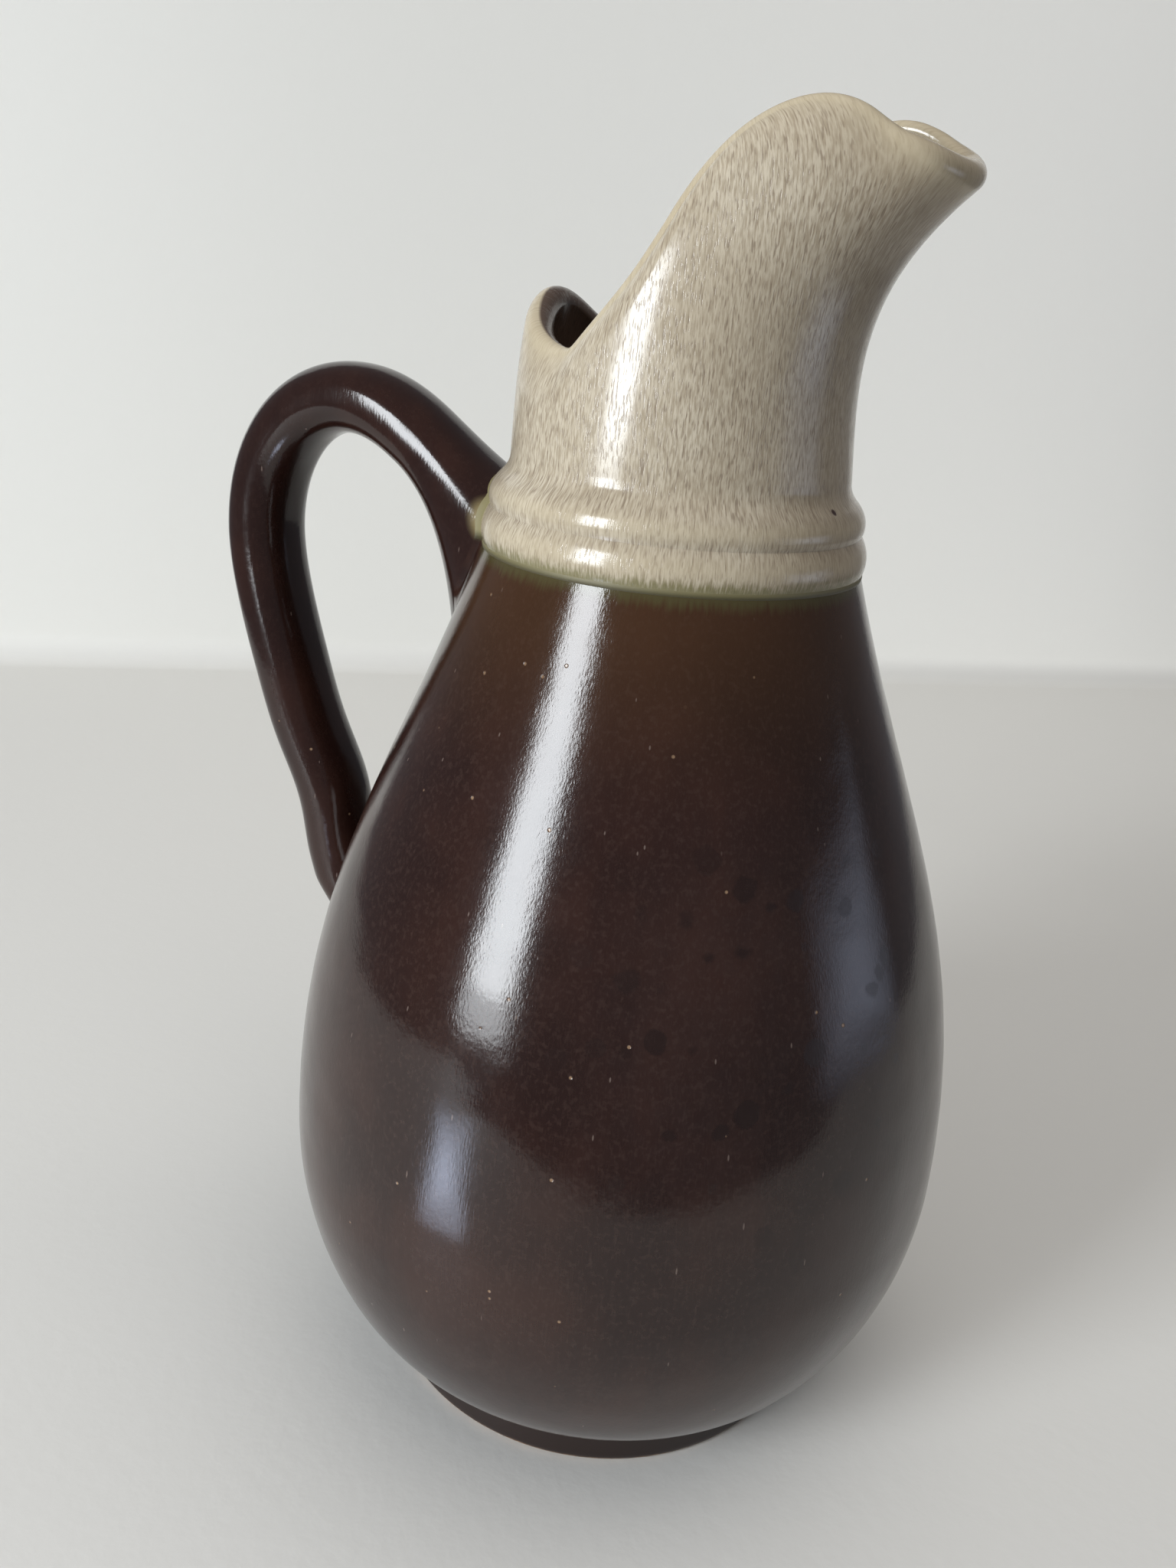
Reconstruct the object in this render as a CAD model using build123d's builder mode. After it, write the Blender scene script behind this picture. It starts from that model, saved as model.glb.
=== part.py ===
"""Stoneware pouring jug: a pear-shaped body on a turned foot, a beaked neck and a strap handle.

The origin is the centre of the foot on the table, +Z is up, and the spout points along +X.
The pieces are stuck together with thin layers of slip, which are pieces of their own.
"""

import os

from build123d import *

# Foot ring, which stands a little proud of the body's base
foot_proud = 0.4
foot_width = 7.4
foot_height = 6.4
foot_round = 1.4

# Slip that joins two pieces
slip = 0.8

# Body: radii of its outer wall, and heights above its own base
base_radius = 38.0
base_flare_out = 9.4
base_flare_up = 5.8
belly_radius = 56.0
belly_height = 37.8
belly_fall = 15.0
belly_rise = 42.0
shoulder_radius = 28.9
shoulder_fall = 36.0
shoulder_lean = 0.33
body_height = 136.4
body_wall = 4.2
body_floor = 6.0

# Collar: two rolled beads, each narrower than the one below, and a hollow curve up to the neck
lower_bead_height = 5.4
lower_bead_bulge = 0.7
upper_bead_height = 4.4
upper_bead_bulge = 0.7
bead_step = 0.9
collar_sweep = 3.4

# Neck: round at the collar, drawn out to a beak at the front as it rises.
# A sharper curve stays straight for longer and then turns faster.
neck_radius = 25.4
neck_wall = 3.4
neck_rise = 51.0
beak_reach = 38.0
beak_pinch = 12.0
front_hollow = 5.8
back_lean = 3.5
widest_shift = 5.0
beak_sharpness = 3.2
pinch_sharpness = 2.2
lean_sharpness = 2.0
neck_slice_count = 6

# Rim line, seen from the side: heights above the neck's foot, and distances from the axis
rim_skew = -9.0
notch = -8.0
notch_height = 15.8
slope = 3.0
slope_height = 27.4
brow = 13.5
brow_height = 44.2
crown = 20.5
crown_height = 47.9
cheek = 29.0
cheek_height = 45.6
lip = 37.0
lip_height = 40.0

# Tab at the back of the rim: a rounded tongue that stands above the notch
tab_middle = -2.0
tab_half_width = 24.0
tab_rise = 7.0

# Handle: a strap round a loop, with a root that flares at each end.
# Its upper points go by the shoulder, and its lower root by the belly.
strap_width = 14.5
strap_thickness = 11.6
strap_round = 4.2
upper_root_drop = 3.6
upper_root_depth = 4.0
upper_root_out = 16.0
upper_root_up = 12.4
crest_out = 30.1
crest_rise = 17.4
crest_ease = 10.5
crest_bend = 10.5
reach_out = 49.5
reach_drop = 6.6
reach_bend = 14.0
reach_ease = 17.0
lower_root_rise = 15.0
lower_root_depth = 3.0
lower_root_out = 8.0
lower_root_up = 26.0
upper_flare_length = 26.0
upper_flare_width = 10.0
upper_flare_height = 16.0
upper_flare_drop = 3.5
lower_flare_length = 20.0
lower_flare_width = 6.0
lower_flare_height = 8.0
flare_sharpness = 2.0
strap_slice_count = 17

# Levels and radii that the pieces share
body_base_z = foot_height + slip
shoulder_z = body_base_z + body_height
collar_z = shoulder_z + slip
bead_z = collar_z + lower_bead_height
neck_z = bead_z + upper_bead_height + collar_sweep
notch_z = neck_z + notch_height
sky_z = neck_z + 2 * neck_rise
clear = neck_radius + 2 * beak_reach
belly_z = body_base_z + belly_height
throat_radius = shoulder_radius - body_wall
foot_inner_radius = base_radius + foot_proud - foot_width

os.makedirs("parts", exist_ok=True)


def pot_curve(inset: float) -> tuple[Vector, Vector]:
    """Draws the pot's side, a given distance inside its outer wall, and returns its two ends."""
    base = Vector(base_radius - inset, body_base_z)
    belly = Vector(belly_radius - inset, belly_z)
    shoulder = Vector(shoulder_radius - inset, shoulder_z)
    Bezier(base, base + (base_flare_out, base_flare_up), belly - (0, belly_fall), belly)
    lean = Vector(shoulder_lean * shoulder_fall, -shoulder_fall)
    Bezier(belly, belly + (0, belly_rise), shoulder + lean, shoulder)
    return base, shoulder


def collar_curve(growth: float):
    """Draws the two beads and the hollow curve above them, moved out by a given distance."""
    lower = shoulder_radius + growth
    upper = lower - bead_step
    top = upper - bead_step
    upper_bead_z = bead_z + upper_bead_height
    lower_crest = ((lower + upper) / 2 + lower_bead_bulge, collar_z + lower_bead_height / 2)
    upper_crest = ((upper + top) / 2 + upper_bead_bulge, bead_z + upper_bead_height / 2)
    ThreePointArc((lower, collar_z), lower_crest, (upper, bead_z))
    ThreePointArc((upper, bead_z), upper_crest, (top, upper_bead_z))
    return Spline((top, upper_bead_z), (neck_radius + growth, neck_z), tangents=[(-1, 1), (0, 1)])


def filled_wall(growth: float) -> Part:
    """Returns the filled outer shape of pot and collar, moved out by a given distance."""
    with BuildPart() as filled:
        with BuildSketch(Plane.XZ):
            with BuildLine():
                base, shoulder = pot_curve(-growth)
                Line(shoulder, (shoulder_radius + growth, collar_z))
                top = collar_curve(growth)
                Polyline(top @ 1, (0, neck_z), (0, body_base_z), base)
            make_face()
        revolve(axis=Axis.Z)
    return filled.part


def neck_slices(inset: float) -> list[Sketch]:
    """Returns level slices of the neck, each two half ellipses that meet where it is widest."""
    slices = []
    for number in range(neck_slice_count):
        rise = number / (neck_slice_count - 1)
        front = neck_radius + beak_reach * rise**beak_sharpness - front_hollow * rise - inset
        back = neck_radius - back_lean * rise**lean_sharpness - inset
        half_width = neck_radius - beak_pinch * rise**pinch_sharpness - inset
        widest = widest_shift * rise
        with BuildSketch(Plane.XY.offset(neck_z + neck_rise * rise)) as level:
            with BuildLine():
                EllipticalCenterArc((widest, 0), front - widest, half_width, -90, arc_size=180)
                EllipticalCenterArc((widest, 0), back + widest, half_width, 90, arc_size=180)
            make_face()
        slices.append(level.sketch)
    return slices


def strap_slices() -> list[Sketch]:
    """Returns slices across the strap's loop, which grow into a flare at each end."""
    slices = []
    for number in range(strap_slice_count):
        share = number / (strap_slice_count - 1)
        from_top = share * strap_loop.length
        from_bottom = strap_loop.length - from_top
        upper = max(0.0, 1 - from_top / upper_flare_length) ** flare_sharpness
        lower = max(0.0, 1 - from_bottom / lower_flare_length) ** flare_sharpness
        heading = strap_loop.tangent_at(share)
        inward = heading.cross(Vector(0, 1, 0))
        centre = strap_loop.position_at(share) + inward * (upper * upper_flare_drop)
        thickness = strap_thickness + upper * upper_flare_height + lower * lower_flare_height
        width = strap_width + upper * upper_flare_width + lower * lower_flare_width
        with BuildSketch(Plane(origin=centre, x_dir=inward, z_dir=heading)) as across:
            RectangleRounded(thickness, width, strap_round)
        slices.append(across.sketch)
    return slices


# Loop that the strap follows, in the plane through the axis, from the collar to the belly
upper_root = Vector(upper_root_depth - shoulder_radius, 0, shoulder_z - upper_root_drop)
crest = Vector(-shoulder_radius - crest_out, 0, shoulder_z + crest_rise)
reach = Vector(-shoulder_radius - reach_out, 0, shoulder_z - reach_drop)
lower_root = Vector(lower_root_depth - belly_radius, 0, belly_z + lower_root_rise)
upper_pull = Vector(-upper_root_out, 0, upper_root_up)
lower_pull = Vector(-lower_root_out, 0, lower_root_up)
with BuildLine() as strap_line:
    Bezier(upper_root, upper_root + upper_pull, crest + (crest_ease, 0, 0), crest)
    Bezier(crest, crest - (crest_bend, 0, 0), reach + (0, 0, reach_bend), reach)
    Bezier(reach, reach - (0, 0, reach_ease), lower_root + lower_pull, lower_root)
strap_loop = strap_line.wire()

with BuildPart() as foot_ring:
    with BuildSketch(Plane.XZ) as foot_profile:
        with Locations((foot_inner_radius, 0)):
            Rectangle(foot_width, foot_height, align=(Align.MIN, Align.MIN))
        fillet(foot_profile.vertices().group_by(Axis.Y)[0], foot_round)
    revolve(axis=Axis.Z)

with BuildPart() as foot_slip:
    with BuildSketch(Plane.XZ):
        with Locations((foot_inner_radius, foot_height)):
            Rectangle(base_radius - foot_inner_radius, slip, align=(Align.MIN, Align.MIN))
    revolve(axis=Axis.Z)

with BuildPart() as body:
    with BuildSketch(Plane.XZ):
        with BuildLine():
            base, shoulder = pot_curve(0)
            Polyline(shoulder, (0, shoulder_z), (0, body_base_z), base)
        make_face()
    revolve(axis=Axis.Z)
    with BuildSketch(Plane.XZ):
        with BuildLine():
            base, shoulder = pot_curve(body_wall)
            Polyline(shoulder, (0, shoulder_z), (0, body_base_z), base)
        make_face()
        with Locations((0, body_base_z)):
            Rectangle(
                belly_radius, body_floor, align=(Align.MIN, Align.MIN), mode=Mode.SUBTRACT
            )
    revolve(axis=Axis.Z, mode=Mode.SUBTRACT)

with BuildPart() as neck_slip:
    with BuildSketch(Plane.XZ):
        with Locations((throat_radius, shoulder_z)):
            Rectangle(shoulder_radius - throat_radius, slip, align=(Align.MIN, Align.MIN))
    revolve(axis=Axis.Z)

with BuildPart() as neck_spout:
    with BuildSketch(Plane.XZ):
        with BuildLine():
            collar_top = collar_curve(0)
            Polyline(collar_top @ 1, (0, neck_z), (0, collar_z), (shoulder_radius, collar_z))
        make_face()
    revolve(axis=Axis.Z)
    loft(neck_slices(0))
    with BuildSketch(Plane.XZ):
        with BuildLine():
            throat = Spline(
                (throat_radius, collar_z),
                (neck_radius - neck_wall, neck_z),
                tangents=[(-shoulder_lean, 1), (0, 1)],
            )
            Polyline(throat @ 1, (0, neck_z), (0, collar_z), throat @ 0)
        make_face()
    revolve(axis=Axis.Z, mode=Mode.SUBTRACT)
    loft(neck_slices(neck_wall), mode=Mode.SUBTRACT)
    with BuildSketch(Plane.XZ.rotated((0, 0, rim_skew))):
        with BuildLine():
            rim_line = Spline(
                (notch, notch_z),
                (slope, neck_z + slope_height),
                (brow, neck_z + brow_height),
                (crown, neck_z + crown_height),
                (cheek, neck_z + cheek_height),
                (lip, neck_z + lip_height),
                (clear, neck_z + lip_height),
            )
            Polyline(rim_line @ 1, (clear, sky_z), (notch, sky_z), rim_line @ 0)
        make_face()
    extrude(amount=clear, both=True, mode=Mode.SUBTRACT)
    with BuildSketch(Plane.YZ.rotated((0, 0, rim_skew)).offset(-clear)):
        with BuildLine():
            tab_line = Spline(
                (tab_middle - tab_half_width, notch_z),
                (tab_middle - tab_half_width / 2, notch_z + tab_rise / 2),
                (tab_middle, notch_z + tab_rise),
                (tab_middle + tab_half_width / 2, notch_z + tab_rise / 2),
                (tab_middle + tab_half_width, notch_z),
                tangents=[(1, 0), (1, 0)],
            )
            Line(tab_line @ 1, (clear, notch_z))
            Polyline((clear, notch_z), (clear, sky_z), (-clear, sky_z), (-clear, notch_z))
            Line((-clear, notch_z), tab_line @ 0)
        make_face()
    extrude(amount=clear + notch, mode=Mode.SUBTRACT)

wall = filled_wall(0)
coated_wall = filled_wall(slip)
between_roots = Plane.XY.offset((upper_root.Z + lower_root.Z) / 2)

with BuildPart() as handle:
    loft(strap_slices())
    add(coated_wall, mode=Mode.SUBTRACT)

with BuildPart() as upper_handle_slip:
    loft(strap_slices())
    add(coated_wall, mode=Mode.INTERSECT)
    add(wall, mode=Mode.SUBTRACT)
    split(bisect_by=between_roots, keep=Keep.TOP)

with BuildPart() as lower_handle_slip:
    loft(strap_slices())
    add(coated_wall, mode=Mode.INTERSECT)
    add(wall, mode=Mode.SUBTRACT)
    split(bisect_by=between_roots, keep=Keep.BOTTOM)

foot_ring.part.label = "foot_ring"
foot_slip.part.label = "foot_slip"
body.part.label = "body"
neck_slip.part.label = "neck_slip"
neck_spout.part.label = "neck_spout"
handle.part.label = "handle"
upper_handle_slip.part.label = "upper_handle_slip"
lower_handle_slip.part.label = "lower_handle_slip"

export_step(foot_ring.part, "parts/foot_ring.step")
export_step(foot_slip.part, "parts/foot_slip.step")
export_step(body.part, "parts/body.step")
export_step(neck_slip.part, "parts/neck_slip.step")
export_step(neck_spout.part, "parts/neck_spout.step")
export_step(handle.part, "parts/handle.step")
export_step(upper_handle_slip.part, "parts/upper_handle_slip.step")
export_step(lower_handle_slip.part, "parts/lower_handle_slip.step")
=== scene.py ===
"""Stoneware pouring jug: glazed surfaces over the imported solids, studio light and the camera.

Shapes are worked out in millimetres in the jug's own frame: the origin is the centre of the foot on
the table, +Z is up and the spout points along +X. Meshes are written in metres.
"""

import logging
import math
from dataclasses import dataclass, field, replace
from enum import Enum

import bpy
import numpy as np
from mathutils import Matrix


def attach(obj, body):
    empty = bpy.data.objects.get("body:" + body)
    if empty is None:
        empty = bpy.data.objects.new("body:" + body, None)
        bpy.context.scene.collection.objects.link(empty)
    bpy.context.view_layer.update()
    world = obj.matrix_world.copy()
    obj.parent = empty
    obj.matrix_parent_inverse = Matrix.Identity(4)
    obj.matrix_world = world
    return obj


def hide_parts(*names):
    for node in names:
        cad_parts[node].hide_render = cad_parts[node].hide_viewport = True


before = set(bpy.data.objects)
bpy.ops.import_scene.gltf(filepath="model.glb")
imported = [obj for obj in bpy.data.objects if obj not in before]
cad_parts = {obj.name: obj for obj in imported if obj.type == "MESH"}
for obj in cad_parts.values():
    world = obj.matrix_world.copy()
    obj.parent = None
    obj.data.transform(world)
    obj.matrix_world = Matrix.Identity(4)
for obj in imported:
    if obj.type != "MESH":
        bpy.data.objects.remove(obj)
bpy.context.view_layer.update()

MM = 0.001
CORNER = math.radians(40)
LOG = logging.getLogger("jug")

Colour = tuple[float, float, float, float]
Settings = dict[str, object]
Socket = bpy.types.NodeSocket


def tone(red: int, green: int, blue: int) -> Colour:
    """Turns a colour as a screen shows it into the shader's linear one.

    Args:
        red: Red from 0 to 255.
        green: Green from 0 to 255.
        blue: Blue from 0 to 255.

    Returns:
        Linear red, green and blue, and an alpha of one.
    """
    share = np.array([red, green, blue]) / 255
    linear = np.where(share <= 0.04045, share / 12.92, ((share + 0.055) / 1.055) ** 2.4)
    return (*(float(value) for value in linear), 1.0)


def bezier(corners: np.ndarray, share: np.ndarray) -> np.ndarray:
    """Points of a cubic Bezier curve: its four corners weighted by the cubic's terms.

    Args:
        corners: Four corners, one a row.
        share: How far along the curve each point lies, from 0 to 1.

    Returns:
        One point a row.
    """
    t = np.asarray(share)[:, None]
    a, b, c, d = np.asarray(corners, float)
    return (1 - t) ** 3 * a + 3 * (1 - t) ** 2 * t * b + 3 * (1 - t) * t**2 * c + t**3 * d


def ease(value: np.ndarray, low: float, high: float) -> np.ndarray:
    """A smooth step: 0 up to low, 1 from high, and three t squared less two t cubed between them.

    Args:
        value: Numbers to turn into shares.
        low: Value where the step starts.
        high: Value where the step ends.

    Returns:
        Shares from 0 to 1.
    """
    t = np.clip((value - low) / (high - low), 0, 1)
    return t * t * (3 - 2 * t)


def through(points: np.ndarray, count: int) -> np.ndarray:
    """A smooth line through a few points: cubic pieces by chord length, with no bend at the ends.

    Args:
        points: Points that the line goes through, one a row.
        count: How many points of the line to return.

    Returns:
        Points of the line, one a row.
    """
    span = np.linalg.norm(np.diff(points, axis=0), axis=1)
    knots = np.append(0, np.cumsum(span))
    slope = np.diff(points, axis=0) / span[:, None]
    inner = np.diag(2 * (span[:-1] + span[1:])) + np.diag(span[1:-1], 1) + np.diag(span[1:-1], -1)
    bend = np.zeros(points.shape)
    bend[1:-1] = np.linalg.solve(inner, 6 * np.diff(slope, axis=0))
    where = np.linspace(0, knots[-1], count)
    left = np.clip(np.searchsorted(knots, where, side="right") - 1, 0, len(span) - 1)
    width = span[left][:, None]
    after = (where - knots[left])[:, None] / width
    before = 1 - after
    straight = before * points[left] + after * points[left + 1]
    curved = (before**3 - before) * bend[left] + (after**3 - after) * bend[left + 1]
    return straight + curved * width**2 / 6


def unit(vectors: np.ndarray) -> np.ndarray:
    """Scales each vector in the last axis to a length of one."""
    return vectors / np.linalg.norm(vectors, axis=-1, keepdims=True)


def from_axis(points: np.ndarray) -> np.ndarray:
    """Distance of each point from the jug's axis."""
    return np.linalg.norm(points[..., :2], axis=-1)


def drawn_to(points: np.ndarray, radius: np.ndarray) -> np.ndarray:
    """Moves points level, in or out, until they lie at a radius from the jug's axis.

    Args:
        points: Places, with three parts in the last axis.
        radius: Radius for each of them.

    Returns:
        The moved places.
    """
    scale = (radius / from_axis(points))[..., None]
    return np.concatenate([points[..., :2] * scale, points[..., 2:]], axis=-1)


def round_steps(columns: int) -> np.ndarray:
    """Angles of even steps in a full turn."""
    return np.linspace(0, 2 * np.pi, columns, endpoint=False)


class Ends(Enum):
    """How the first and last rows of a grid of points are closed."""

    LOOP = "the last row joins the first"
    POLES = "each end row closes on a point at its middle"


def skin(name: str, points: np.ndarray, ends: Ends, marks: dict[str, np.ndarray]) -> bpy.types.Object:
    """Makes a closed object from a grid of points whose columns go round and join.

    Args:
        name: Name of the piece.
        points: Rows by columns by three, in millimetres; rows run up the outside.
        ends: How the end rows are closed.
        marks: Named values for the finish, each rows by columns.

    Returns:
        The object, at the origin, with smooth faces that point outwards and crisp corners.
    """
    rows, columns = points.shape[:2]
    index = np.arange(rows * columns).reshape(rows, columns)
    places = points.reshape(-1, 3)
    values = {key: mark.ravel() for key, mark in marks.items()}
    if ends is Ends.LOOP:
        below, above = index, np.roll(index, -1, axis=0)
        triangles = np.empty((0, 3), int)
    else:
        below, above = index[:-1], index[1:]
        first, last = len(places), len(places) + 1
        places = np.vstack([places, points[0].mean(0), points[-1].mean(0)])
        values = {key: np.append(flat, [flat[0], flat[-1]]) for key, flat in values.items()}
        beside = np.roll(index, -1, axis=1)
        bottom = np.column_stack([np.full(columns, first), beside[0], index[0]])
        top = np.column_stack([index[-1], beside[-1], np.full(columns, last)])
        triangles = np.vstack([bottom, top])
    quads = np.stack([below, np.roll(below, -1, 1), np.roll(above, -1, 1), above], -1).reshape(-1, 4)
    corners = np.concatenate([quads.ravel(), triangles.ravel()])
    starts = np.append(np.arange(len(quads)) * 4, quads.size + np.arange(len(triangles)) * 3)
    mesh = bpy.data.meshes.new(name)
    mesh.vertices.add(len(places))
    mesh.vertices.foreach_set("co", (places * MM).astype(np.float32).ravel())
    mesh.loops.add(len(corners))
    mesh.loops.foreach_set("vertex_index", corners.astype(np.int32))
    mesh.polygons.add(len(starts))
    mesh.polygons.foreach_set("loop_start", starts.astype(np.int32))
    mesh.polygons.foreach_set("use_smooth", np.ones(len(starts), bool))
    for key, flat in values.items():
        mesh.attributes.new(key, "FLOAT", "POINT").data.foreach_set("value", flat.astype(np.float32))
    mesh.update(calc_edges=True)
    mesh.validate()
    mesh.set_sharp_from_angle(angle=CORNER)
    piece = bpy.data.objects.new(name, mesh)
    bpy.context.scene.collection.objects.link(piece)
    return piece


def turned(outline: np.ndarray, columns: int) -> np.ndarray:
    """Carries an outline round the jug's axis: radius times cosine, radius times sine, height.

    Args:
        outline: Radius and height of each row.
        columns: Steps in a full turn.

    Returns:
        Rows by columns by three.
    """
    turn = round_steps(columns)
    radius, height = outline[:, :1], outline[:, 1:]
    return np.stack([radius * np.cos(turn), radius * np.sin(turn), height + 0 * turn], -1)


def flat_ring(edge: np.ndarray, low: float, high: float, inner: float) -> np.ndarray:
    """Outline of a flat ring: up its outer edge, inwards on top and outwards underneath.

    Args:
        edge: Radius of the outer edge, from its foot to its top.
        low: Height of the underside.
        high: Height of the top.
        inner: Inner radius.

    Returns:
        Radius and height of each row.
    """
    share = np.linspace(0, 1, len(edge))
    side = np.column_stack([edge, low + share * (high - low)])
    top = np.column_stack([edge[0] + share[1:] * (inner - edge[0]), 0 * share[1:] + high])
    under = np.column_stack([inner + share[:-1] * (edge[0] - inner), 0 * share[:-1] + low])
    return np.vstack([side, top, under])


def rotation(axis: str, degrees: float) -> np.ndarray:
    """A turn about the X or the Z axis.

    Args:
        axis: Name of the axis.
        degrees: Angle of the turn.

    Returns:
        The matrix that turns columns.
    """
    first, second = {"X": (1, 2), "Z": (0, 1)}[axis]
    angle = math.radians(degrees)
    matrix = np.eye(3)
    matrix[first, first] = matrix[second, second] = math.cos(angle)
    matrix[first, second], matrix[second, first] = -math.sin(angle), math.sin(angle)
    return matrix


class Number:
    """One number of a shader: an output socket whose arithmetic adds Math nodes."""

    def __init__(self, graph: "Graph", socket: Socket) -> None:
        """Keeps the socket and the graph that new nodes go to."""
        self.graph = graph
        self.socket = socket

    def _math(self, operation: str, *terms: object) -> "Number":
        """Adds a Math node on these terms and returns its result."""
        node = self.graph.node("ShaderNodeMath", {"operation": operation}, dict(enumerate(terms)))
        return Number(self.graph, node.outputs[0])

    def __add__(self, other: object) -> "Number":
        """Self plus other."""
        return self._math("ADD", self, other)

    def __radd__(self, other: object) -> "Number":
        """Other plus self."""
        return self._math("ADD", other, self)

    def __sub__(self, other: object) -> "Number":
        """Self less other."""
        return self._math("SUBTRACT", self, other)

    def __rsub__(self, other: object) -> "Number":
        """Other less self."""
        return self._math("SUBTRACT", other, self)

    def __mul__(self, other: object) -> "Number":
        """Self times other."""
        return self._math("MULTIPLY", self, other)

    def __rmul__(self, other: object) -> "Number":
        """Other times self."""
        return self._math("MULTIPLY", other, self)

    def step(self, low: float, high: float) -> "Number":
        """A smooth step of the number, downwards where high is the smaller.

        Args:
            low: Where the step is 0.
            high: Where the step is 1.

        Returns:
            A share from 0 to 1.
        """
        sockets = {"Value": self, "From Min": min(low, high), "From Max": max(low, high)}
        sockets |= {"To Min": float(low > high), "To Max": float(low < high)}
        node = self.graph.node("ShaderNodeMapRange", {"interpolation_type": "SMOOTHSTEP"}, sockets)
        return Number(self.graph, node.outputs["Result"])


class Graph:
    """The nodes of one material."""

    def __init__(self, name: str) -> None:
        """Starts an empty material of that name.

        Args:
            name: Name of the material.
        """
        self.material = bpy.data.materials.new(name)
        self.material.use_nodes = True
        self.tree = self.material.node_tree
        self.tree.nodes.clear()

    def node(self, kind: str, settings: Settings, sockets: dict) -> bpy.types.Node:
        """Adds a node.

        Args:
            kind: Blender's name of the node's type.
            settings: Attributes, set before the sockets.
            sockets: A value, Number or output socket for each input, by name or place.

        Returns:
            The new node.
        """
        node = self.tree.nodes.new(kind)
        for key, value in settings.items():
            setattr(node, key, value)
        for key, value in sockets.items():
            source = value.socket if isinstance(value, Number) else value
            if isinstance(source, Socket):
                self.tree.links.new(source, node.inputs[key])
            else:
                node.inputs[key].default_value = source
        return node

    def vector(self, operation: str, sockets: dict) -> Socket:
        """The vector that a Vector Math node works out."""
        return self.node("ShaderNodeVectorMath", {"operation": operation}, sockets).outputs[0]

    def place(self) -> Socket:
        """The point on the piece, in millimetres in the jug's frame."""
        source = self.node("ShaderNodeTexCoord", {}, {}).outputs["Object"]
        return self.vector("SCALE", {0: source, "Scale": 1 / MM})

    def stretched(self, place: Socket, along: tuple, turn: tuple = (0, 0, 0)) -> Socket:
        """Multiplies a place's parts and turns it, in radians about the three axes."""
        sockets = {"Vector": place, "Rotation": turn, "Scale": along}
        return self.node("ShaderNodeMapping", {"vector_type": "POINT"}, sockets).outputs[0]

    def upright(self, place: Socket, radius: float, along: float) -> Socket:
        """Moves a place onto a cylinder round the jug's axis, so that streaks run up any slope.

        Args:
            place: The place.
            radius: Radius of the cylinder.
            along: Share of the height that is kept, which draws the streaks out.

        Returns:
            The moved place.
        """
        way = self.vector("NORMALIZE", {0: self.vector("MULTIPLY", {0: place, 1: (1, 1, 0)})})
        height = self.vector("MULTIPLY", {0: place, 1: (0, 0, along)})
        return self.vector("MULTIPLY_ADD", {0: way, 1: (radius, radius, radius), 2: height})

    def part(self, place: Socket, axis: str) -> Number:
        """One part of a place, by the name of its axis."""
        return Number(self, self.node("ShaderNodeSeparateXYZ", {}, {0: place}).outputs[axis])

    def mark(self, name: str) -> Number:
        """A value that the piece's own points carry."""
        return Number(self, self.node("ShaderNodeAttribute", {"attribute_name": name}, {}).outputs["Fac"])

    def noise(self, place: Socket, scale: float, detail: float) -> Number:
        """Cloudy noise from 0 to 1, with features of about one over the scale in millimetres."""
        sockets = {"Vector": place, "Scale": scale, "Detail": detail}
        return Number(self, self.node("ShaderNodeTexNoise", {}, sockets).outputs[0])

    def cells(self, place: Socket, scale: float) -> tuple[Number, Number]:
        """Points scattered at random.

        Args:
            place: Where to look.
            scale: Points in a millimetre.

        Returns:
            The distance to the nearest point, in cells, and that point's own chance from 0 to 1.
        """
        node = self.node("ShaderNodeTexVoronoi", {}, {"Vector": place, "Scale": scale})
        chance = self.node("ShaderNodeSeparateColor", {}, {0: node.outputs["Color"]}).outputs[0]
        return Number(self, node.outputs["Distance"]), Number(self, chance)

    def near(self, place: Socket, point: tuple, low: float, high: float) -> Number:
        """1 within low millimetres of a point, falling to 0 at high."""
        node = self.node("ShaderNodeVectorMath", {"operation": "DISTANCE"}, {0: place, 1: point})
        return Number(self, node.outputs["Value"]).step(high, low)

    def layers(self, ground: Colour | Socket, *coats: tuple[Number, Colour | Socket]) -> Socket:
        """Lays colours over each other.

        Args:
            ground: The lowest colour.
            coats: For each coat, its share of what is below it and its colour.

        Returns:
            The colour that shows.
        """
        for share, over in coats:
            sockets = {0: share, 6: ground, 7: over}
            ground = self.node("ShaderNodeMix", {"data_type": "RGBA"}, sockets).outputs[2]
        return ground

    def relief(self, *heights: tuple[Number, float]) -> Socket:
        """Disturbs the surface by one height after another.

        Args:
            heights: Each height from 0 to 1, and what it stands for in millimetres.

        Returns:
            The surface's direction.
        """
        normal = {}
        for height, depth in heights:
            sockets = {"Height": height, "Distance": depth * MM, "Strength": 1.0} | normal
            normal = {"Normal": self.node("ShaderNodeBump", {}, sockets).outputs[0]}
        return normal["Normal"]

    def surface(self, sockets: dict) -> bpy.types.Material:
        """Ends the material with one shader.

        Args:
            sockets: What goes into the shader.

        Returns:
            The finished material.
        """
        shader = self.node("ShaderNodeBsdfPrincipled", {}, sockets)
        self.node("ShaderNodeOutputMaterial", {}, {"Surface": shader.outputs[0]})
        return self.material


class Coat(Enum):
    """Which piece a brown glaze covers."""

    BODY = "the pot, with the pale glaze running over its top edge"
    STRAP = "the handle, with a spot of pale glaze at its upper root"


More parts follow.
